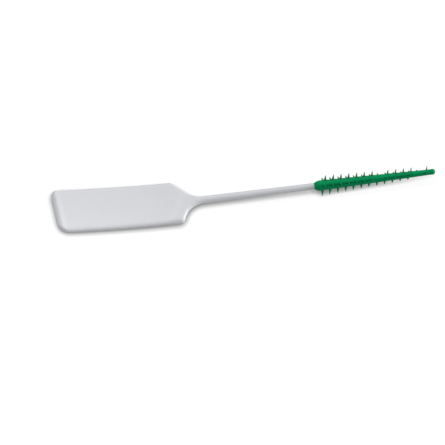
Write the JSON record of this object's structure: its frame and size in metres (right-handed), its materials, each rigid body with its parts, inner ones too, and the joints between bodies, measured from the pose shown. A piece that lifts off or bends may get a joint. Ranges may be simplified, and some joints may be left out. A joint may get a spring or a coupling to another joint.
{
  "type": "rubber interdental pick",
  "caption": "Interdental pick with a flat white handle, a thin round shank and a tapered green rubber sleeve carrying short leaning bristles.",
  "frame": {"origin": "on the paddle's flat underside, below the shank's axis and half-way along the paddle", "axes": "+X along the shank towards the bristled tip, +Z out of the paddle's upper face, +Y across the paddle"},
  "size_m": [0.0639, 0.0087, 0.0033],
  "materials": {
    "white_polypropylene": "satin moulded",
    "green_soft_rubber": "satin moulded"
  },
  "bodies": {
    "root": {"handle": "white_polypropylene", "rubber_sleeve": "green_soft_rubber"}
  },
  "joints": []
}
